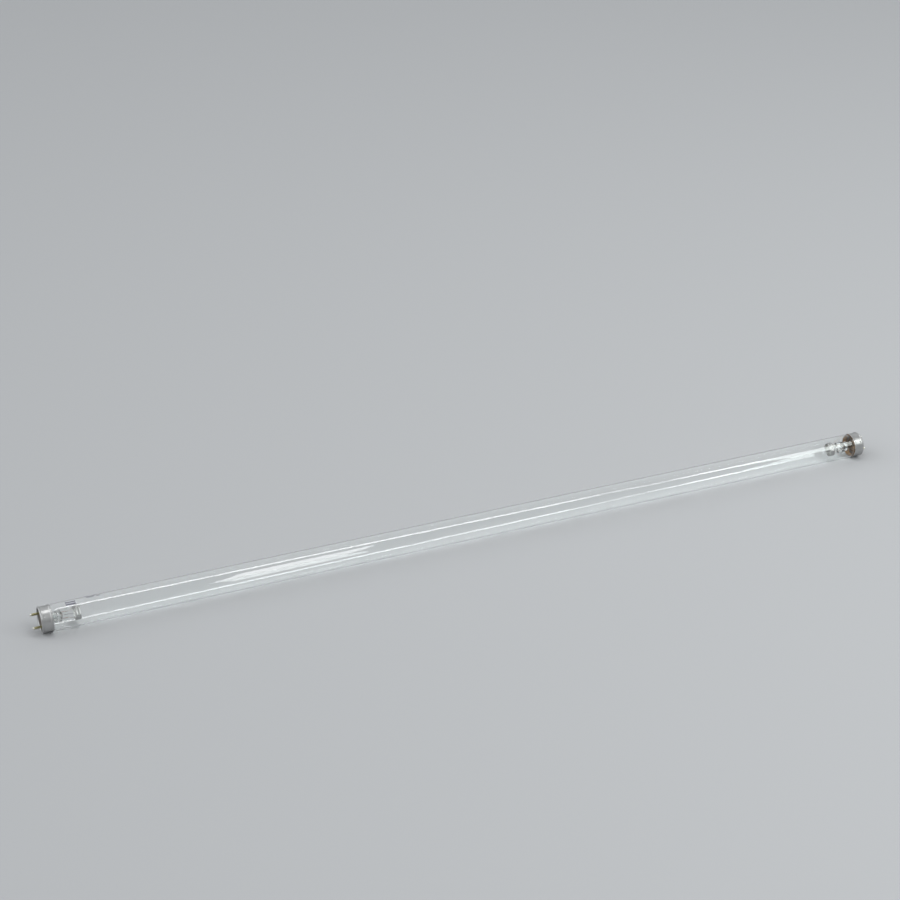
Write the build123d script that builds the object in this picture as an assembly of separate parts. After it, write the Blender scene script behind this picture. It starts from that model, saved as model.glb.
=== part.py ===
from build123d import *
import os
from math import atan2, degrees, radians, sin, cos, tan

# Germicidal discharge lamp: a clear straight tube with a two-pin cap on each end.
# World frame: the tube's axis is X, the origin is its middle, +Z is up and the lamp lies down.
# End frame, in which each end is drawn: the origin is the middle of the cap's outer face,
# +Z points out along the lamp and the two pins stand in the YZ plane.
# A depth is a distance from the cap's outer face inwards.

# Whole lamp
FACE_TO_FACE = 894.0
PIN_LEAN = 40.0  # lean of the pins' plane from upright, about the lamp's axis

# Glass envelope
TUBE_OD = 25.8
TUBE_WALL = 0.8
NECK_STEP = 1.5  # how far the neck's surface lies inside the tube's
SHOULDER_LENGTH = 4.0
SHOULDER_LEAD = 2.4  # length of shoulder left bare outside the cap
SHOULDER_ROUND = 7.0
SEAL_DEPTH = 6.3

# Cap shell, rolled from sheet
CAP_LENGTH = 11.2
CAP_STEP = 0.5  # how far the cap's surface lies inside the tube's
SHEET = 0.35
BEAD_RISE = 0.45
BEAD_LENGTH = 1.3
BEAD_SLOPE = 0.7
BEAD_ROUND = 0.6
RIM_WIDTH = 1.6  # width of the curl over the disc, between sheet centrelines
LIP_LENGTH = 0.2  # straight length of the curl's inner leg

# Insulating disc and the lanced tongues that hold it from behind
DISC_THICKNESS = 1.6
DISC_FIT = 0.05
DISC_CHAMFER = 0.3
TONGUES = 4
TONGUE_WIDTH = 2.2
TONGUE_LENGTH = 0.9
TONGUE_REACH = 0.5
SLOT_MARGIN = 0.15

# Pins
PIN_SPACING = 12.7
PIN_OD = 2.35
PIN_LENGTH = 7.4  # from the cap's outer face to the tip
PIN_TIP_ROUND = 0.7
PIN_FIT = 0.03
COLLAR_OD = 3.7
COLLAR_THICKNESS = 0.5
RIVET_OD = 3.3
RIVET_THICKNESS = 0.5

# Cement between the shell and the neck
CEMENT_EDGE = 0.3  # cement's set-back from the shell's open edge
CEMENT_DEPTH = 5.9

# Stem: flare, tube, press and exhaust tube in one piece of glass
STEM_OD = 10.0
STEM_WALL = 0.9
FLARE_RIM = 1.3
FLARE_EDGE_ROUND = 0.4
STEM_TUBE = 6.6  # round length between the flare and the press's taper
PRESS_WIDTH = 11.6
PRESS_THICKNESS = 4.2
PRESS_ROUND = 1.6
PRESS_EDGE_ROUND = 0.7
PRESS_LENGTH = 5.5
PRESS_TAPER = 3.5
EXHAUST_OD = 4.4
EXHAUST_WALL = 0.8
EXHAUST_TIP_DEPTH = 4.4
EXHAUST_HOLE = 1.8

# Wires
LEAD_DIAMETER = 0.6
WIRE_FIT = 0.02
LEAD_SPACING = 6.0  # between the two leads in the press
LEAD_STRAIGHT = 1.0  # straight length before each bend
LEAD_BEND = 1.2
CLAMP_WIDTH = 1.4
CLAMP_THICKNESS = 0.8
CLAMP_LENGTH = 1.8
CLAMP_ROUND = 0.35

# Coil
COIL_REACH = 8.3  # from the press's inner end to the coil
COIL_SPAN = 9.8  # between the two clamps' centres
COIL_WIRE = 0.32
COIL_DIAMETER = 1.5  # of the wire's centreline
COIL_PITCH = 0.8
COIL_TURNS = 9

# Guard: a strip rolled with rounded ridges and bent to an oval hoop round the coil
GUARD_LENGTH = 14.8
GUARD_BREADTH = 10.0
GUARD_WIDTH = 5.4
GUARD_SHEET = 0.25
GUARD_RIDGES = 2
GUARD_RIDGE = 0.6  # height of a ridge before its crest and the valleys are rounded
CREST_SHARE = 0.66  # part of each flank that the rounding of its crest takes up
VALLEY_SHARE = 0.28
SUPPORT_DIAMETER = 0.6
SUPPORT_ROOT = 4.0  # length of the support wire sealed in the press

# Worked out from the sizes above
TUBE_R = TUBE_OD / 2
NECK_R = TUBE_R - NECK_STEP
CAP_R = TUBE_R - CAP_STEP
STEM_R = STEM_OD / 2
LEAD_R = LEAD_DIAMETER / 2
SUPPORT_R = SUPPORT_DIAMETER / 2
RIM_DEPTH = SHEET / 2 + RIM_WIDTH / 2 + LIP_LENGTH
RECESS_DEPTH = RIM_DEPTH + SHEET / 2 + DISC_FIT
DISC_BACK = RECESS_DEPTH + DISC_THICKNESS
FLARE_ROUND = NECK_R - FLARE_RIM - STEM_R
FLARE_END = SEAL_DEPTH + FLARE_ROUND
BORE_END = FLARE_END + STEM_TUBE
PRESS_TOP = BORE_END + PRESS_TAPER
PRESS_DEPTH = PRESS_TOP + PRESS_LENGTH
COIL_DEPTH = PRESS_DEPTH + COIL_REACH


def solid_of_turning(outline):
    """Turn a closed outline, given as (radius, height) lines, about the lamp's axis."""
    return revolve(Plane.XZ * make_face(outline), Axis.Z)


def closed(*points):
    return Polyline(*points, close=True)


def ring(outer_r, inner_r, top, bottom):
    return solid_of_turning(closed((inner_r, bottom), (outer_r, bottom), (outer_r, top), (inner_r, top)))


def rod(radius, top, bottom, x=0.0, y=0.0):
    return Pos(x, y, bottom) * Cylinder(radius, top - bottom, align=(Align.CENTER, Align.CENTER, Align.MIN))


def bent_wire(points, radius, bend):
    """A round wire along straight runs joined by arcs."""
    path = FilletPolyline(*points, radius=bend)
    start = Plane(origin=path @ 0, z_dir=path % 0)
    return sweep(start * Circle(radius), path=path)


def envelope_line(inset):
    """Half section of the envelope, at a distance inside its outer surface, along world X."""
    half = FACE_TO_FACE / 2
    shoulder_x = half - CAP_LENGTH - SHOULDER_LEAD
    neck_x = shoulder_x + SHOULDER_LENGTH
    seal_x = half - SEAL_DEPTH
    slope = atan2(NECK_STEP, SHOULDER_LENGTH)
    shift = inset * tan(slope / 2)
    right = [
        (shoulder_x - shift, TUBE_R - inset),
        (neck_x - shift, NECK_R - inset),
        (seal_x, NECK_R - inset),
    ]
    left = [(-x, r) for x, r in reversed(right)]
    rounds = [SHOULDER_ROUND + inset, SHOULDER_ROUND - inset]
    return FilletPolyline(*left, *right, radius=rounds + rounds[::-1])


def glass_tube():
    outer = envelope_line(0)
    inner = envelope_line(TUBE_WALL)
    section = make_face(outer + inner + Line(outer @ 0, inner @ 0) + Line(outer @ 1, inner @ 1))
    return revolve(section, Axis.X)


def envelope_solid():
    """The envelope filled in, which shapes the cement around it."""
    outer = envelope_line(0)
    start, end = outer @ 0, outer @ 1
    base = Polyline((start.X, start.Y), (start.X, 0), (end.X, 0), (end.X, end.Y))
    return revolve(make_face(outer + base), Axis.X)


def cap_shell():
    """Thin sheet with a curled rim, a bead at each edge and tongues lanced out of its wall."""
    half = SHEET / 2
    wall_r = CAP_R - half
    bead_r = wall_r + BEAD_RISE
    lip_r = bead_r - RIM_WIDTH
    crown_r = RIM_WIDTH / 2
    crown = CenterArc((bead_r - crown_r, -half - crown_r), crown_r, 0, 180)
    lip = Line((lip_r, -half - crown_r), (lip_r, -RIM_DEPTH))
    wall = FilletPolyline(
        (bead_r, -half - crown_r),
        (bead_r, -RIM_DEPTH),
        (wall_r, -RIM_DEPTH - BEAD_SLOPE),
        (wall_r, BEAD_LENGTH + BEAD_SLOPE - CAP_LENGTH),
        (bead_r, BEAD_LENGTH - CAP_LENGTH),
        (bead_r, half - CAP_LENGTH),
        radius=BEAD_ROUND,
    )
    middle = Wire((lip + crown + wall).edges())
    shell = solid_of_turning(offset(middle, amount=half, side=Side.BOTH))
    slot_width = TONGUE_WIDTH + 2 * SLOT_MARGIN
    slot = Pos(wall_r, 0, -DISC_BACK - TONGUE_LENGTH / 2) * Box(2 * TONGUE_REACH, slot_width, TONGUE_LENGTH)
    top = -DISC_BACK - DISC_FIT
    root = -DISC_BACK - TONGUE_LENGTH
    profile = closed(
        (wall_r - half, root - SHEET),
        (wall_r, root),
        (wall_r - TONGUE_REACH, top),
        (wall_r - TONGUE_REACH - SHEET, top),
    )
    tongue = extrude(Plane.XZ * make_face(profile), amount=TONGUE_WIDTH / 2, both=True)
    for i in range(TONGUES):
        turn = Rot(0, 0, 360 / TONGUES * i)
        shell = shell - turn * slot + turn * tongue
    return shell


def insulator_disc():
    radius = CAP_R - SHEET - DISC_FIT
    disc = rod(radius, -RECESS_DEPTH, -DISC_BACK)
    disc = chamfer(disc.edges(), DISC_CHAMFER)
    for side in (1, -1):
        disc -= rod(PIN_OD / 2 + PIN_FIT, 0, -CAP_LENGTH, y=side * PIN_SPACING / 2)
    return disc


def pin():
    """Hollow pin with a rounded tip, a collar on the disc and its tail riveted over behind it."""
    shank = PIN_OD / 2
    bore = LEAD_R + WIRE_FIT
    outline = FilletPolyline(
        (bore, PIN_LENGTH),
        (shank, PIN_LENGTH),
        (shank, COLLAR_THICKNESS - RECESS_DEPTH),
        (COLLAR_OD / 2, COLLAR_THICKNESS - RECESS_DEPTH),
        (COLLAR_OD / 2, -RECESS_DEPTH),
        (shank, -RECESS_DEPTH),
        (shank, -DISC_BACK),
        (RIVET_OD / 2, -DISC_BACK),
        (RIVET_OD / 2, -DISC_BACK - RIVET_THICKNESS),
        (bore, -DISC_BACK - RIVET_THICKNESS),
        close=True,
        radius=[0, PIN_TIP_ROUND, 0, COLLAR_THICKNESS / 2, 0, 0, 0, 0, RIVET_THICKNESS / 2, 0],
    )
    return solid_of_turning(outline)


def cement():
    """Ring of cement between the shell and the neck, shaped by the glass inside it."""
    inside_end = Pos(0, 0, -FACE_TO_FACE / 2) * (Rot(0, -90, 0) * envelope_solid())
    blank = ring(CAP_R - SHEET, NECK_R - TUBE_WALL, -CEMENT_DEPTH, CEMENT_EDGE - CAP_LENGTH)
    return blank - inside_end - flare_solid()


def flare_solid():
    """Trumpet that closes the neck, drawn solid down to the stem's tube."""
    rim = NECK_R - FLARE_RIM
    top = STEM_WALL - SEAL_DEPTH
    edges = Polyline(
        (rim, -SEAL_DEPTH),
        (NECK_R, -SEAL_DEPTH),
        (NECK_R, top),
        (0, top),
        (0, -FLARE_END),
        (STEM_R, -FLARE_END),
    )
    flare = solid_of_turning(CenterArc((rim, -FLARE_END), FLARE_ROUND, 90, 90) + edges)
    return fillet(flare.edges().group_by(Axis.Z)[-1], FLARE_EDGE_ROUND)


def stem_bore():
    """What the trumpet and its tube hold open towards the cap."""
    rim = NECK_R - FLARE_RIM
    top = STEM_WALL - SEAL_DEPTH
    bore = STEM_R - STEM_WALL
    edges = Polyline((rim, top), (0, top), (0, -FLARE_END), (bore, -FLARE_END))
    mouth = solid_of_turning(CenterArc((rim, -FLARE_END), FLARE_ROUND + STEM_WALL, 90, 90) + edges)
    straight = rod(bore, -FLARE_END, bore - BORE_END)
    return mouth + straight + Pos(0, 0, bore - BORE_END) * Sphere(bore)


def press():
    """The tube's end squeezed flat, wide in the plane of the pins."""
    flat = RectangleRounded(PRESS_THICKNESS, PRESS_WIDTH, PRESS_ROUND)
    bearings = sorted(degrees(atan2(v.Y, v.X)) for v in flat.vertices())
    spans = zip(bearings, bearings[1:] + [bearings[0] + 360])
    circle = make_face([CenterArc((0, 0), STEM_R, start, stop - start) for start, stop in spans])
    taper = loft([Plane.XY.offset(-BORE_END) * circle, Plane.XY.offset(-PRESS_TOP) * flat])
    block = extrude(Plane.XY.offset(-PRESS_DEPTH) * flat, amount=PRESS_LENGTH)
    block = fillet(block.edges().group_by(Axis.Z)[0], PRESS_EDGE_ROUND)
    return taper + block


def exhaust(radius):
    """The exhaust tube, or its bore, from its sealed tip down to the stem's solid glass."""
    dome = -EXHAUST_TIP_DEPTH - EXHAUST_OD / 2
    return rod(radius, dome, -BORE_END) + Pos(0, 0, dome) * Sphere(radius)


def exhaust_hole():
    """Way out of the exhaust tube's bore through the solid glass into the lamp, on one side."""
    radius = EXHAUST_HOLE / 2
    down = rod(EXHAUST_OD / 2 - EXHAUST_WALL, -BORE_END, -BORE_END - EXHAUST_HOLE)
    side = Rot(0, 90, 0) * Cylinder(radius, STEM_OD, align=(Align.CENTER, Align.CENTER, Align.MIN))
    return down + Pos(0, 0, -BORE_END - radius) * side


def stem():
    body = flare_solid() + rod(STEM_R, -FLARE_END, -BORE_END) + press() - stem_bore()
    body = body + exhaust(EXHAUST_OD / 2) - exhaust(EXHAUST_OD / 2 - EXHAUST_WALL) - exhaust_hole()
    for side in (1, -1):
        body -= rod(LEAD_R + WIRE_FIT, -FLARE_END, -COIL_DEPTH, y=side * LEAD_SPACING / 2)
    return body - rod(SUPPORT_R + WIRE_FIT, SUPPORT_ROOT + WIRE_FIT - PRESS_DEPTH, -COIL_DEPTH)


def lead(side):
    """One wire from the pin's tip through the press to the coil, flattened round the coil's tail."""
    pin_y = side * PIN_SPACING / 2
    press_y = side * LEAD_SPACING / 2
    coil_y = side * COIL_SPAN / 2
    points = [
        (0, pin_y, PIN_LENGTH - PIN_TIP_ROUND / 2),
        (0, pin_y, -DISC_BACK - RIVET_THICKNESS - LEAD_STRAIGHT),
        (0, press_y, -FLARE_END + LEAD_STRAIGHT),
        (0, press_y, -PRESS_DEPTH - LEAD_STRAIGHT),
        (0, coil_y, LEAD_STRAIGHT + CLAMP_LENGTH - COIL_DEPTH),
        (0, coil_y, -COIL_DEPTH),
    ]
    wire = bent_wire(points, LEAD_R, LEAD_BEND)
    clamp = Pos(0, coil_y, -COIL_DEPTH) * Box(CLAMP_WIDTH, CLAMP_THICKNESS, CLAMP_LENGTH)
    clamp = fillet(clamp.edges().filter_by(Axis.Y), CLAMP_ROUND)
    tail_hole = Rot(90, 0, 0) * Cylinder(COIL_WIRE / 2 + WIRE_FIT, 2 * CLAMP_THICKNESS)
    return wire + clamp - Pos(0, coil_y, -COIL_DEPTH) * tail_hole


def coil():
    """Wound wire whose two straight tails pass through the leads' clamps."""
    length = COIL_PITCH * COIL_TURNS
    helix = Helix(pitch=COIL_PITCH, height=length, radius=COIL_DIAMETER / 2)
    wire = Circle(COIL_WIRE / 2)
    turns = sweep(Plane(origin=helix @ 0, z_dir=helix % 0) * wire, path=helix, is_frenet=True)
    tail_length = (COIL_SPAN - length + CLAMP_THICKNESS) / 2 + COIL_WIRE
    tail = Pos(COIL_DIAMETER / 2, 0, 0) * (rod(COIL_WIRE / 2, 0, -tail_length) + Sphere(COIL_WIRE / 2))
    wound = turns + tail + Pos(0, 0, length) * Rot(180, 0, 0) * tail
    along = Plane(origin=(-COIL_DIAMETER / 2, -length / 2, -COIL_DEPTH), x_dir=(1, 0, 0), z_dir=(0, 1, 0))
    return along.location * wound


def guard():
    """Oval hoop of strip rolled with rounded ridges; their crests lie on the hoop's outside."""
    edge = GUARD_WIDTH / 2
    half_pitch = edge / GUARD_RIDGES
    slope = atan2(GUARD_RIDGE, half_pitch)
    full_round = half_pitch / sin(slope)
    crest_round = CREST_SHARE * full_round
    valley_round = VALLEY_SHARE * full_round
    crest = GUARD_BREADTH / 2 + crest_round * (1 / cos(slope) - 1)
    corners = range(2 * GUARD_RIDGES + 1)
    face = [(crest - GUARD_RIDGE * (i % 2 == 0), edge - half_pitch * i) for i in corners]
    back = [(x - GUARD_SHEET, z) for x, z in reversed(face)]
    rounds = [0] + [crest_round if i % 2 else valley_round for i in corners[1:-1]] + [0]
    section = Plane.XZ * make_face(FilletPolyline(*face, *back, close=True, radius=rounds + rounds))
    reach = (GUARD_LENGTH - GUARD_BREADTH) / 2
    straight = extrude(section, amount=reach, both=True)
    bend = Pos(0, reach, 0) * revolve(section, Axis.Z, 180)
    half = straight + bend
    return Pos(0, 0, -COIL_DEPTH) * (half + Rot(0, 0, 180) * half)


def guard_support():
    """Wire from the press to the hoop's flat side, to which it is welded."""
    out = -GUARD_BREADTH / 2 - SUPPORT_R - WIRE_FIT
    points = [
        (0, 0, SUPPORT_ROOT - PRESS_DEPTH),
        (0, 0, -PRESS_DEPTH - LEAD_STRAIGHT),
        (out, 0, LEAD_STRAIGHT + GUARD_WIDTH / 2 - COIL_DEPTH),
        (out, 0, -COIL_DEPTH - GUARD_WIDTH / 2),
    ]
    return bent_wire(points, SUPPORT_R, LEAD_BEND)


def end_plane(direction):
    """Frame of one end; direction is -1 for the left end and 1 for the right."""
    lean = radians(PIN_LEAN)
    upward = Vector(0, sin(lean), cos(lean))
    outward = Vector(direction, 0, 0)
    return Plane(origin=outward * (FACE_TO_FACE / 2), x_dir=upward.cross(outward), z_dir=outward)


def end_pieces():
    half = PIN_SPACING / 2
    return {
        "cap_shell": cap_shell(),
        "insulator_disc": insulator_disc(),
        "pin_upper": Pos(0, half, 0) * pin(),
        "pin_lower": Pos(0, -half, 0) * pin(),
        "cement": cement(),
        "stem": stem(),
        "lead_upper": lead(1),
        "lead_lower": lead(-1),
        "coil": coil(),
        "guard": guard(),
        "guard_support": guard_support(),
    }


def main():
    os.makedirs("parts", exist_ok=True)
    pieces = {"glass_tube": glass_tube()}
    for name, piece in end_pieces().items():
        for side, direction in (("left", -1), ("right", 1)):
            pieces[f"{side}_{name}"] = end_plane(direction).location * piece
    for name, piece in pieces.items():
        export_step(piece, f"parts/{name}.step")


main()
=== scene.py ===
from math import atan2, cos, pi, radians, sin, tan

import bmesh
import bpy
from mathutils import Matrix, Vector

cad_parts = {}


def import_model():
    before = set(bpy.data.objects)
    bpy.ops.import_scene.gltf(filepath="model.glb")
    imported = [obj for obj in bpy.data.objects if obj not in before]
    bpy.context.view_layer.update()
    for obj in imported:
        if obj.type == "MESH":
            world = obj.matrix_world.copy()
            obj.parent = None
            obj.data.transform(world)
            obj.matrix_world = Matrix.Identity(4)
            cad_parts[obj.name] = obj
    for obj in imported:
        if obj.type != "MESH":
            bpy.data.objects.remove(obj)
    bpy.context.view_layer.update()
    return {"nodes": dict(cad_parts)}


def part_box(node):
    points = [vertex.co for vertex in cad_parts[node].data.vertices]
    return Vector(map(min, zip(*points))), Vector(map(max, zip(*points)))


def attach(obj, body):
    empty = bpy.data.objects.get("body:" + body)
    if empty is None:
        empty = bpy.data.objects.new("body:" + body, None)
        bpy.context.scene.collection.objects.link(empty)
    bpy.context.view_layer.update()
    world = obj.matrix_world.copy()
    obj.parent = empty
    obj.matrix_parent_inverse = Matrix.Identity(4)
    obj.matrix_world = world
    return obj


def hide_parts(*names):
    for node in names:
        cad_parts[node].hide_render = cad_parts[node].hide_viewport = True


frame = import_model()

NODES = frame["nodes"]
BODY = "root"

# The lamp's places and sizes, read from the frame
TUBE_LOW, TUBE_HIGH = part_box("glass_tube")
TUBE_R = (TUBE_HIGH.z - TUBE_LOW.z) / 2
TUBE_HALF = TUBE_HIGH.x
FLOOR_Z = TUBE_LOW.z
CAP_EDGE_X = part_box("right_cap_shell")[0].x
FACE_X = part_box("right_cap_shell")[1].x
PIN_TIP_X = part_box("right_pin_upper")[1].x
DISC_BACK_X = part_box("right_insulator_disc")[0].x
STEM_LOW, STEM_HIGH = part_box("right_stem")
PRESS_X = STEM_LOW.x

# Envelope of clear glass: its neck is as wide as the stem's flare, less a gap that keeps their faces apart
NECK_GAP = 0.00005
NECK_R = (STEM_HIGH.z - STEM_LOW.z) / 2 - NECK_GAP
WALL = 0.0008
SHOULDER_BARE = 0.0037
SHOULDER_SPAN = 0.0065
SHOULDER_X = CAP_EDGE_X - SHOULDER_BARE
SIDES = 192
SHOULDER_RINGS = 22
TUBE_RINGS = 90

# Camera, fitted to the photograph
CAMERA_AT = (-0.6762, -1.4969, 0.9489)
CAMERA_YAW = radians(23.195)
CAMERA_PITCH = radians(27.752)
CAMERA_VIEW = radians(26.84)
CAMERA_CLIP = (0.01, 100.0)
SENSOR = 36.0

# Floor
FLOOR_HALF = 6.0
FLOOR_COLOUR = (0.47, 0.475, 0.485)
FLOOR_GRAIN = 0.985

# Row of tube lights overhead, straight and seen in the glass as its two long highlights.
# The spans are of lit tubes, in metres of X from the row's start.
ROW_HEIGHT = 3.0
ROW_START = (-0.07, 0.485)
ROW_SLOPE = -0.93
ROW_SPANS = ((-0.20, 0.39), (0.40, 0.84), (0.852, 1.26), (1.277, 1.668), (1.854, 2.30))
ROW_SKEW = radians(1.5)
ROW_WIDTH = 0.38
ROW_RADIANCE = 7.0

# Windows in front, each seen in the glass as a filled patch between those highlights:
# name, place along the lamp, lift above the floor, distance, size, roll and colour
WINDOWS = (
    ("window", 0.322, radians(46.2), 1.9, (0.295, 0.93), radians(-3.3), (1.0, 1.0, 1.0)),
    ("end_window", 1.85, radians(50.0), 2.0, (0.80, 1.30), radians(12.5), (0.94, 1.0, 0.975)),
)
WINDOW_RADIANCE = 4.2

# Sky: its colour and plain level, and two glows, high at the back and beyond the lamp's left end.
# Of each: strength, axis, and the ranges of direction in which it rises along that axis and upwards.
SKY_COLOUR = (0.95, 0.98, 1.0)
SKY_LEVEL = 0.42
SKY_GLOWS = (
    (0.42, "Y", (-0.1, 0.8), (0.12, 0.55)),
    (1.4, "X", (-0.25, -0.8), (0.06, 0.4)),
)

# Colours: where there are two, the first shows at low values of the noise and the second at high ones
TUBE_TINTS = ((0.985, 0.995, 0.992), (0.997, 1.0, 0.999))
STEM_TINTS = ((0.93, 0.955, 0.95), (0.985, 0.995, 0.99))
ALUMINIUM = (0.50, 0.50, 0.495)
ALUMINIUM_DULL = (0.38, 0.38, 0.38)
BOARD = ((0.065, 0.05, 0.04), (0.13, 0.10, 0.08))
BOARD_SMEARED = ((0.36, 0.17, 0.045), (0.52, 0.27, 0.09))
BRASS = ((0.26, 0.235, 0.12), (0.43, 0.40, 0.245))
PIN_TIP = (0.78, 0.77, 0.70)
CEMENT = ((0.38, 0.18, 0.05), (0.58, 0.31, 0.105))
NICKEL = ((0.46, 0.44, 0.41), (0.68, 0.66, 0.62))
SEALED_WIRE = (0.34, 0.15, 0.09)
COATING = ((0.36, 0.35, 0.34), (0.80, 0.79, 0.76))
STEEL = ((0.36, 0.36, 0.355), (0.55, 0.55, 0.54))
INK = (0.05, 0.045, 0.10)

# Index of refraction of the tube's glass, the stems' glass and the discs' board
TUBE_IOR = 1.5
STEM_IOR = 1.54
BOARD_IOR = 1.5

# Light that glass lets through to what it shades: its tint where the glass faces the light
# and where it is edge on, and the range of facing over which the one becomes the other
GLASS_BLEND = 0.35
GLASS_TURN = (0.55, 1.0)
TUBE_SHADE = ((0.94, 0.95, 0.95), (0.40, 0.42, 0.43))
STEM_SHADE = ((0.96, 0.97, 0.97), (0.72, 0.75, 0.75))

# Distances from the lamp's middle over which a finish changes
SMEAR_ENDS = (DISC_BACK_X - 0.00002, DISC_BACK_X + 0.0001)
PIN_TIP_STARTS = (PIN_TIP_X - 0.0022, PIN_TIP_X - 0.0008)
PRESS_STARTS = (PRESS_X - 0.0001, PRESS_X + 0.0002)
PRESS_ENDS = (PRESS_X + 0.0055, PRESS_X + 0.0062)

# Bars of ink near the left end: distance from the end's face to the bar's middle, length,
# bearing about the axis in degrees, height
INK_BARS = (
    (0.0298, 0.0096, 88.0, 0.0019),
    (0.0298, 0.0096, 74.0, 0.0019),
    (0.0470, 0.0040, 106.0, 0.0012),
    (0.0525, 0.0034, 106.0, 0.0012),
    (0.0490, 0.0076, 95.0, 0.0012),
    (0.0566, 0.0038, 95.0, 0.0012),
)
INK_EDGE = 0.00012
INK_COVER = 0.55
INK_WORN = 0.55

# Range in which most of a noise's values lie
NOISE_SPREAD = (0.3, 0.7)


class Tree:
    """A node tree, with short calls for what the materials and the sky repeat."""

    def __init__(self, tree):
        self.tree = tree

    def add(self, kind, **settings):
        node = self.tree.nodes.new(kind)
        for key, value in settings.items():
            setattr(node, key, value)
        return node

    def link(self, source, target):
        self.tree.links.new(source, target)

    def feed(self, socket, value):
        """Set a socket to a number or a colour, or link another node's output to it."""
        if isinstance(value, (int, float)):
            socket.default_value = value
        elif isinstance(value, tuple):
            socket.default_value = (*value, 1.0)
        else:
            self.link(value, socket)

    def maths(self, operation, *values):
        node = self.add("ShaderNodeMath", operation=operation)
        for socket, value in zip(node.inputs, values):
            self.feed(socket, value)
        return node.outputs["Value"]

    def between(self, value, spread, results=(0.0, 1.0), interpolation="LINEAR"):
        """Carry a value's range over to a range of results, and no further."""
        node = self.add("ShaderNodeMapRange", clamp=True, interpolation_type=interpolation)
        names = ("Value", "From Min", "From Max", "To Min", "To Max")
        for name, given in zip(names, (value, *spread, *results)):
            self.feed(node.inputs[name], given)
        return node.outputs["Result"]

    def axes(self, vector):
        """A vector's parts by axis."""
        node = self.add("ShaderNodeSeparateXYZ")
        self.link(vector, node.inputs["Vector"])
        return {axis: node.outputs[axis] for axis in "XYZ"}


class Graph(Tree):
    """A material's node tree. Its textures lie in the lamp's own frame, in metres."""

    def __init__(self, name):
        self.material = bpy.data.materials.new(name)
        self.material.use_nodes = True
        super().__init__(self.material.node_tree)
        self.shader = self.tree.nodes["Principled BSDF"]
        self.output = self.tree.nodes["Material Output"]
        self.place = self.add("ShaderNodeTexCoord").outputs["Object"]

    def set(self, **values):
        for key, value in values.items():
            self.shader.inputs[key.replace("_", " ")].default_value = value

    def colour(self, value):
        self.link(value, self.shader.inputs["Base Color"])

    def rough(self, value):
        self.link(value, self.shader.inputs["Roughness"])

    def bump(self, height, distance):
        node = self.add("ShaderNodeBump")
        node.inputs["Strength"].default_value = 1.0
        node.inputs["Distance"].default_value = distance
        self.link(height, node.inputs["Height"])
        self.link(node.outputs["Normal"], self.shader.inputs["Normal"])

    def noise(self, scale, detail=3.0, stretch=(1, 1, 1), roughness=0.55):
        """Noise whose scale is multiplied along each axis by the stretch."""
        mapping = self.add("ShaderNodeMapping")
        mapping.inputs["Scale"].default_value = stretch
        self.link(self.place, mapping.inputs["Vector"])
        node = self.add("ShaderNodeTexNoise")
        for name, value in (("Scale", scale), ("Detail", detail), ("Roughness", roughness)):
            node.inputs[name].default_value = value
        self.link(mapping.outputs["Vector"], node.inputs["Vector"])
        return node.outputs["Fac"]

    def shades(self, value, colours, spread=NOISE_SPREAD):
        """Run from one colour to another as a value crosses a range."""
        node = self.add("ShaderNodeValToRGB")
        for point, position, colour in zip(node.color_ramp.elements, spread, colours):
            point.position = position
            point.color = (*colour, 1.0)
        self.link(value, node.inputs["Fac"])
        return node.outputs["Color"]

    def mix(self, factor, first, second):
        node = self.add("ShaderNodeMix", data_type="RGBA")
        inputs = {socket.name: socket for socket in node.inputs if socket.enabled}
        for name, value in (("Factor", factor), ("A", first), ("B", second)):
            self.feed(inputs[name], value)
        return next(socket for socket in node.outputs if socket.enabled)

    def overlay(self, factor, shader):
        """Lay a shader over what the output shows now, as far as the factor says."""
        surface = self.output.inputs["Surface"]
        node = self.add("ShaderNodeMixShader")
        self.link(factor, node.inputs["Fac"])
        self.link(surface.links[0].from_socket, node.inputs[1])
        self.link(shader.outputs["BSDF"], node.inputs[2])
        self.link(node.outputs["Shader"], surface)

    def along(self):
        """Distance from the lamp's middle along its axis."""
        return self.maths("ABSOLUTE", self.axes(self.place)["X"])


def let_light_through(graph, shade):
    """Glass casts a light shadow, darker where the wall is seen edge on."""
    weight = graph.add("ShaderNodeLayerWeight")
    weight.inputs["Blend"].default_value = GLASS_BLEND
    clear = graph.add("ShaderNodeBsdfTransparent")
    graph.link(graph.shades(weight.outputs["Facing"], shade, GLASS_TURN), clear.inputs["Color"])
    path = graph.add("ShaderNodeLightPath")
    graph.overlay(path.outputs["Is Shadow Ray"], clear)


def ink_mask(graph):
    """How much ink lies at a place, from its distance along the lamp and its arc about the axis."""
    place = graph.axes(graph.place)
    bearing = graph.maths("ARCTAN2", place["Z"], graph.maths("MULTIPLY", place["Y"], -1.0))
    arc = graph.maths("MULTIPLY", bearing, TUBE_R)
    total = 0.0
    for depth, length, degrees, height in INK_BARS:
        span = (place["X"], depth - FACE_X, length)
        rise = (arc, radians(degrees) * TUBE_R, height)
        sides = []
        for at, middle, size in (span, rise):
            off = graph.maths("ABSOLUTE", graph.maths("SUBTRACT", at, middle))
            sides.append(graph.between(off, (size / 2 - INK_EDGE, size / 2), (1.0, 0.0)))
        total = graph.maths("ADD", total, graph.maths("MULTIPLY", *sides))
    worn = graph.between(graph.noise(scale=1500), (0.3, 0.6), (INK_WORN * INK_COVER, INK_COVER))
    return graph.maths("MULTIPLY", total, worn)


def print_ink(graph):
    ink = graph.add("ShaderNodeBsdfDiffuse")
    ink.inputs["Color"].default_value = (*INK, 1.0)
    graph.overlay(ink_mask(graph), ink)


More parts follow.
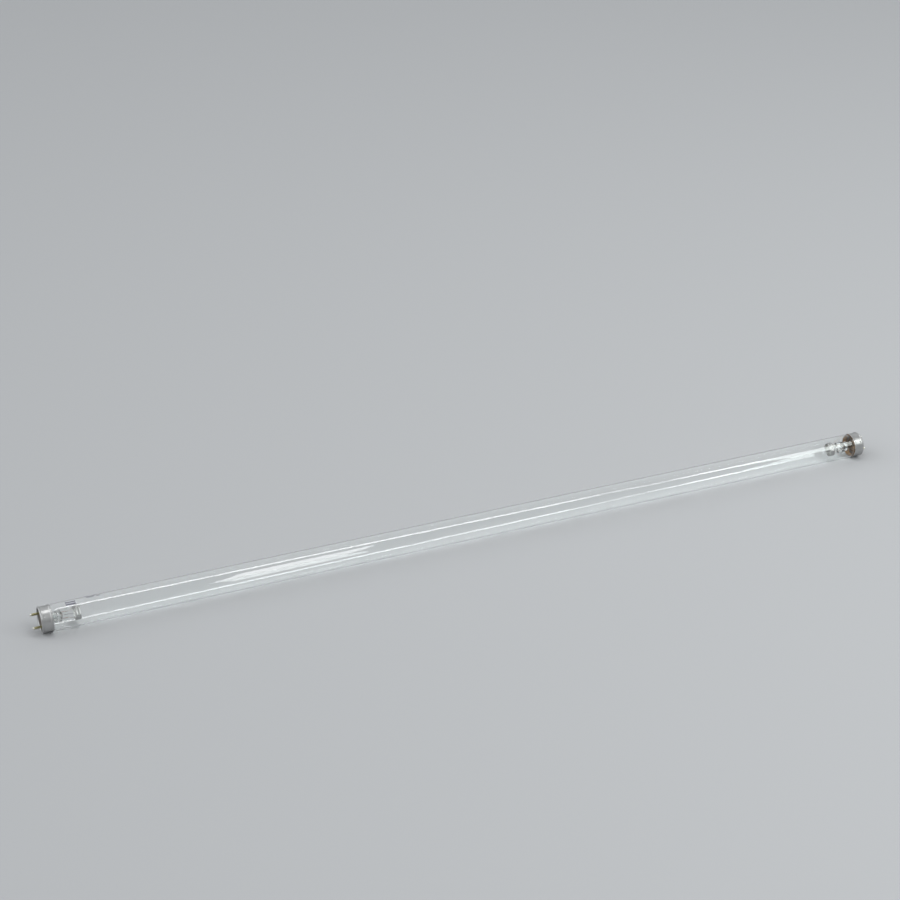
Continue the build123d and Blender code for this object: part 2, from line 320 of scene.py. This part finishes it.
def tube_glass():
    """Drawn glass: long ripples, and a tint that hardly varies."""
    graph = Graph("tube_glass")
    graph.set(Roughness=0.0, IOR=TUBE_IOR, Transmission_Weight=1.0)
    streaks = graph.noise(scale=14, stretch=(0.4, 1, 1))
    graph.colour(graph.shades(streaks, TUBE_TINTS, spread=(0.35, 0.7)))
    ripples = graph.noise(scale=60, detail=2.0, stretch=(0.02, 1, 1))
    graph.bump(ripples, distance=0.00002)
    let_light_through(graph, TUBE_SHADE)
    print_ink(graph)
    return graph.material


def stem_glass():
    """Glass worked in a flame: uneven, and dull in places."""
    graph = Graph("stem_glass")
    graph.set(IOR=STEM_IOR, Transmission_Weight=1.0)
    graph.colour(graph.shades(graph.noise(scale=300), STEM_TINTS))
    graph.rough(graph.between(graph.noise(scale=420), (0.45, 0.8), (0.0, 0.12)))
    graph.bump(graph.noise(scale=260, detail=2.0), distance=0.0003)
    let_light_through(graph, STEM_SHADE)
    return graph.material


def cap_aluminium():
    """Sheet brushed round the cap, with blotches that are duller."""
    graph = Graph("cap_aluminium")
    graph.set(Metallic=1.0)
    lines = graph.noise(scale=1, detail=4.0, stretch=(9000, 60, 60), roughness=0.7)
    blotches = graph.noise(scale=160, detail=4.0)
    dulled = graph.between(blotches, (0.4, 0.75), (0.0, 0.7))
    graph.colour(graph.mix(dulled, ALUMINIUM, ALUMINIUM_DULL))
    brushed = graph.between(lines, NOISE_SPREAD, (0.26, 0.40))
    handled = graph.between(blotches, (0.4, 0.7), (0.0, 0.06))
    graph.rough(graph.maths("ADD", brushed, handled))
    graph.bump(lines, distance=0.00001)
    return graph.material


def disc_phenolic():
    """Pressed board with fibres, smeared with cement on its inner face."""
    graph = Graph("disc_phenolic")
    graph.set(IOR=BOARD_IOR)
    fibres = graph.noise(scale=1500, detail=5.0, stretch=(1, 0.55, 1))
    inner_face = graph.between(graph.along(), SMEAR_ENDS, (1.0, 0.0))
    graph.colour(graph.mix(inner_face, graph.shades(fibres, BOARD), graph.shades(fibres, BOARD_SMEARED)))
    graph.rough(graph.between(graph.noise(scale=900), NOISE_SPREAD, (0.45, 0.7)))
    graph.bump(fibres, distance=0.00004)
    return graph.material


def pin_brass():
    """Stained brass with marks drawn along the pin, and a paler colour over the last millimetres to the
    tip.
    """
    graph = Graph("pin_brass")
    graph.set(Metallic=1.0)
    stain = graph.noise(scale=700, detail=4.0, stretch=(0.35, 1, 1))
    brass = graph.shades(stain, BRASS, spread=(0.3, 0.75))
    graph.colour(graph.mix(graph.between(graph.along(), PIN_TIP_STARTS), brass, PIN_TIP))
    graph.rough(graph.between(stain, NOISE_SPREAD, (0.24, 0.42)))
    graph.bump(graph.noise(scale=1, stretch=(300, 2500, 2500)), distance=0.000008)
    return graph.material


def cap_cement():
    graph = Graph("cap_cement")
    graph.set(Roughness=0.75)
    grains = graph.noise(scale=1600, detail=4.0)
    graph.colour(graph.shades(grains, CEMENT, spread=(0.3, 0.72)))
    graph.bump(grains, distance=0.00015)
    return graph.material


def lead_wire():
    """Nickel, and copper red where the wire is sealed in the press."""
    graph = Graph("lead_wire")
    graph.set(Metallic=1.0)
    along = graph.along()
    sealed = graph.maths(
        "MULTIPLY", graph.between(along, PRESS_STARTS), graph.between(along, PRESS_ENDS, (1.0, 0.0))
    )
    grime = graph.noise(scale=900)
    graph.colour(graph.mix(sealed, graph.shades(grime, NICKEL), SEALED_WIRE))
    graph.rough(graph.between(grime, NOISE_SPREAD, (0.25, 0.4)))
    return graph.material


def electrode_coil():
    """Wire under a crumbly pale coating."""
    graph = Graph("electrode_coil")
    crumbs = graph.noise(scale=5200, detail=4.0)
    graph.colour(graph.shades(crumbs, COATING, spread=(0.35, 0.6)))
    graph.rough(graph.between(crumbs, NOISE_SPREAD, (0.6, 0.9)))
    graph.bump(crumbs, distance=0.00008)
    return graph.material


def guard_steel():
    """Bright strip with the marks of its rolling."""
    graph = Graph("guard_steel")
    graph.set(Metallic=1.0)
    rolled = graph.noise(scale=1, stretch=(5000, 120, 120))
    graph.colour(graph.shades(graph.noise(scale=380), STEEL))
    graph.rough(graph.between(rolled, NOISE_SPREAD, (0.08, 0.2)))
    graph.bump(rolled, distance=0.000006)
    return graph.material


# The material of each kind of node, by how the node's name goes on after its side
FINISHES = {
    "cap_shell": cap_aluminium,
    "insulator_disc": disc_phenolic,
    "pin": pin_brass,
    "cement": cap_cement,
    "stem": stem_glass,
    "lead": lead_wire,
    "coil": electrode_coil,
    "guard": guard_steel,
}


def dress_nodes():
    """Give each node of the two ends its material; the tube's node is replaced instead."""
    for kind, finish in FINISHES.items():
        material = finish()
        for name, node in NODES.items():
            if name.startswith((f"left_{kind}", f"right_{kind}")):
                for slot in node.material_slots:
                    slot.material = material


def smooth_step(value):
    value = min(max(value, 0.0), 1.0)
    return value * value * (3 - 2 * value)


def wall_radius(x, inset):
    """Radius of the envelope's outer surface, or of one inset from it, at a place along the lamp."""
    fall = smooth_step((abs(x) - SHOULDER_X) / SHOULDER_SPAN)
    return TUBE_R - inset - (TUBE_R - NECK_R) * fall


def stations():
    """Places along the lamp where the lathe has a ring, close together at the shoulders."""
    shoulder = [SHOULDER_X + SHOULDER_SPAN * i / SHOULDER_RINGS for i in range(SHOULDER_RINGS + 1)]
    right = shoulder + [TUBE_HALF]
    middle = [-SHOULDER_X + 2 * SHOULDER_X * i / TUBE_RINGS for i in range(1, TUBE_RINGS)]
    return [-x for x in reversed(right)] + middle + right


def lathe(name, profile, material):
    """A closed mesh turned about the lamp's axis from a ring of (x, radius) points."""
    mesh = bpy.data.meshes.new(name)
    build = bmesh.new()
    rings = []
    for x, radius in profile:
        angles = (2 * pi * k / SIDES for k in range(SIDES))
        rings.append([build.verts.new((x, radius * cos(a), radius * sin(a))) for a in angles])
    for ring, following in zip(rings, rings[1:] + rings[:1]):
        for k in range(SIDES):
            after = (k + 1) % SIDES
            face = build.faces.new((ring[k], ring[after], following[after], following[k]))
            face.smooth = True
    bmesh.ops.recalc_face_normals(build, faces=build.faces)
    build.to_mesh(mesh)
    build.free()
    mesh.materials.append(material)
    piece = bpy.data.objects.new(name, mesh)
    bpy.context.scene.collection.objects.link(piece)
    return piece


def clear_tube():
    """The envelope as one skin: out along its outer surface and back along its inner one."""
    places = stations()
    outer = [(x, wall_radius(x, 0)) for x in places]
    inner = [(x, wall_radius(x, WALL)) for x in reversed(places)]
    tube = lathe("clear_tube", outer + inner, tube_glass())
    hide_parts("glass_tube")
    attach(tube, BODY)


def floor():
    graph = Graph("pale_floor")
    graph.set(Roughness=0.85, Specular_IOR_Level=0.2)
    darker = tuple(FLOOR_GRAIN * part for part in FLOOR_COLOUR)
    graph.colour(graph.shades(graph.noise(scale=900, detail=4.0), (darker, FLOOR_COLOUR)))
    bpy.ops.mesh.primitive_plane_add(size=2 * FLOOR_HALF, location=(0, 0, FLOOR_Z))
    plane = bpy.context.object
    plane.name = "floor"
    plane.data.materials.append(graph.material)


def lamp(name, size, radiance, place, colour=(1.0, 1.0, 1.0)):
    """A lit rectangle of a given radiance, at a place given as a matrix; it faces along -Z."""
    light = bpy.data.lights.new(name, "AREA")
    light.shape = "RECTANGLE"
    light.size, light.size_y = size
    light.color = colour
    light.energy = radiance * pi * size[0] * size[1]
    holder = bpy.data.objects.new(name, light)
    holder.matrix_world = place
    bpy.context.scene.collection.objects.link(holder)


def overhead_row():
    along = Vector((1.0, ROW_SLOPE, 0.0))
    origin = Vector((*ROW_START, ROW_HEIGHT))
    turn = Matrix.Rotation(atan2(along.y, along.x) + ROW_SKEW, 4, "Z")
    for start, stop in ROW_SPANS:
        length = (stop - start) * along.length
        middle = origin + along * (start + stop) / 2
        lamp("overhead", (length, ROW_WIDTH), ROW_RADIANCE, Matrix.Translation(middle) @ turn)


def windows():
    """Each window faces the point of the lamp's axis that its place along the lamp gives."""
    for name, x, lift, away, size, roll, colour in WINDOWS:
        centre = Vector((x, -away * cos(lift), away * sin(lift)))
        turn = (Vector((x, 0, 0)) - centre).to_track_quat("-Z", "Y").to_matrix().to_4x4()
        place = Matrix.Translation(centre) @ turn @ Matrix.Rotation(roll, 4, "Z")
        lamp(name, size, WINDOW_RADIANCE, place, colour)


def world():
    """Soft light all round, brighter high behind the lamp and beyond its left end."""
    sky = bpy.data.worlds.new("studio")
    bpy.context.scene.world = sky
    sky.use_nodes = True
    graph = Tree(sky.node_tree)
    background = sky.node_tree.nodes["Background"]
    background.inputs["Color"].default_value = (*SKY_COLOUR, 1.0)
    direction = graph.axes(graph.add("ShaderNodeTexCoord").outputs["Generated"])
    level = SKY_LEVEL
    for strength, axis, spread, rise in SKY_GLOWS:
        sideways = graph.between(direction[axis], spread, interpolation="SMOOTHSTEP")
        upwards = graph.between(direction["Z"], rise, interpolation="SMOOTHSTEP")
        glow = graph.maths("MULTIPLY", sideways, upwards)
        level = graph.maths("MULTIPLY_ADD", glow, strength, level)
    graph.link(level, background.inputs["Strength"])


def camera():
    lens = bpy.data.cameras.new("camera")
    lens.sensor_fit = "HORIZONTAL"
    lens.sensor_width = SENSOR
    lens.lens = SENSOR / 2 / tan(CAMERA_VIEW / 2)
    lens.clip_start, lens.clip_end = CAMERA_CLIP
    holder = bpy.data.objects.new("camera", lens)
    holder.location = CAMERA_AT
    holder.rotation_euler = (pi / 2 - CAMERA_PITCH, 0, -CAMERA_YAW)
    bpy.context.scene.collection.objects.link(holder)
    bpy.context.scene.camera = holder


bpy.context.scene.view_settings.view_transform = "Standard"
camera()
floor()
world()
overhead_row()
windows()
dress_nodes()
clear_tube()
